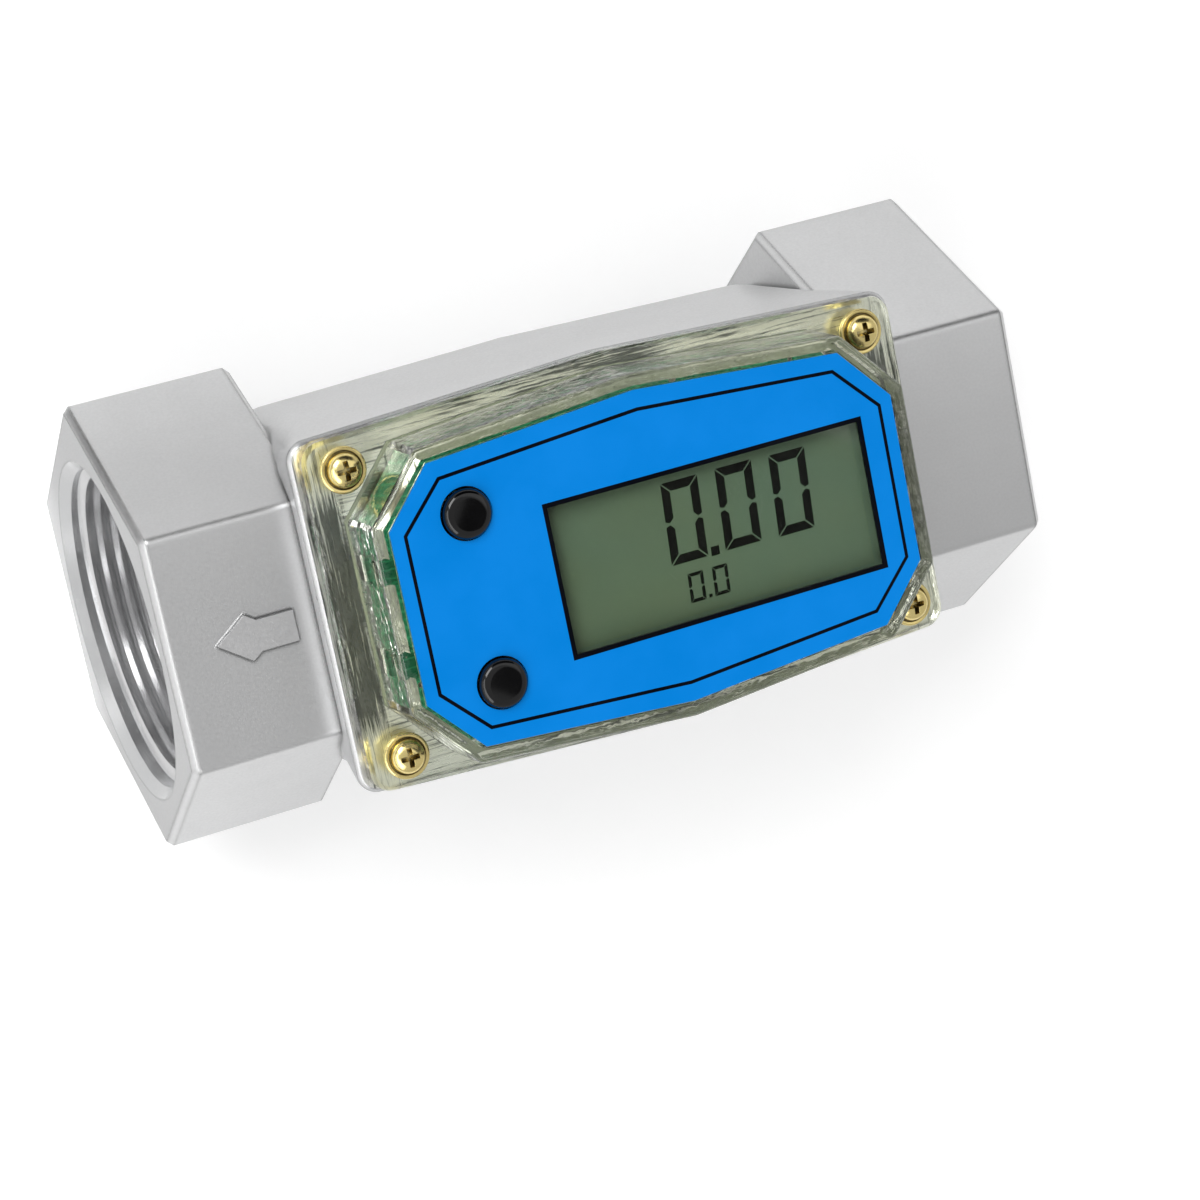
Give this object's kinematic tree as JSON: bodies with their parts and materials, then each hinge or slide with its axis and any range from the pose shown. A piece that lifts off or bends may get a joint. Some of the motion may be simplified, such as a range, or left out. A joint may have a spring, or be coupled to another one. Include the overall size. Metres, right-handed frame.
{
  "type": "digital flow meter",
  "caption": "Inline turbine flow meter with hexagonal threaded pipe ends, a clear-covered digital display and push buttons beside it.",
  "frame": {"origin": "on the plane of the hexagons' lower flats, under the middle of the bore", "axes": "+X along the bore towards the inlet, against the flow; +Z out of the display; +Y towards the top of the display's digits"},
  "size_m": [0.136, 0.0666, 0.0765],
  "materials": {
    "cast_aluminium": "satin, as cast and tumbled, bright where turned",
    "clear_cover": "clear moulded polycarbonate",
    "seal_rubber": "matte",
    "yellow_zinc": "zinc plated, yellow passivated",
    "blue_faceplate": "printed, satin",
    "lcd_glass": "grey-green reflective display",
    "black_plastic": "matte",
    "connector_rubber": "layered elastomer",
    "green_board": "solder resist",
    "button_black": "glossy",
    "cell_jacket": "plain printed jacket",
    "nickel_steel": "nickel plated",
    "turbine_black": "moulded, satin",
    "bush_brass": "turned",
    "shaft_steel": "ground",
    "ring_steel": "stamped, bright"
  },
  "bodies": {
    "housing": {"meter_body": "cast_aluminium", "clear_cover": "clear_cover", "cover_gasket": "seal_rubber", "cover_screws": "yellow_zinc", "face_label": "blue_faceplate", "lcd_panel": "lcd_glass", "lcd_bezel": "black_plastic", "lcd_connectors": "connector_rubber", "circuit_board": "green_board", "controller_chip": "black_plastic", "calibrate_switch": "black_plastic", "display_switch": "black_plastic", "battery_holder": "black_plastic", "battery_cells": "cell_jacket", "battery_contacts": "nickel_steel", "hall_sensor": "black_plastic", "sensor_leads": "nickel_steel", "inlet_support": "turbine_black", "outlet_support": "turbine_black", "inlet_bush": "bush_brass", "outlet_bush": "bush_brass", "inlet_retaining_ring": "ring_steel", "outlet_retaining_ring": "ring_steel"},
    "turbine": {"rotor": "turbine_black", "rotor_shaft": "shaft_steel", "rotor_magnets": "nickel_steel"},
    "calibrate_key": {"calibrate_button": "button_black", "calibrate_plunger": "black_plastic"},
    "display_key": {"display_button": "button_black", "display_plunger": "black_plastic"}
  },
  "joints": [
    {"name": "turbine_spin", "type": "hinge", "parent": "housing", "child": "turbine", "pos_m": [0, 0, 0.029], "axis": [1, 0, 0], "continuous": true},
    {"name": "calibrate_press", "type": "slide", "parent": "housing", "child": "calibrate_key", "axis": [0, 0, -1], "range_m": [0, 0.0003], "stiffness_N_per_m": 1200, "springref_m": -0.001},
    {"name": "display_press", "type": "slide", "parent": "housing", "child": "display_key", "axis": [0, 0, -1], "range_m": [0, 0.0003], "stiffness_N_per_m": 1200, "springref_m": -0.001}
  ]
}
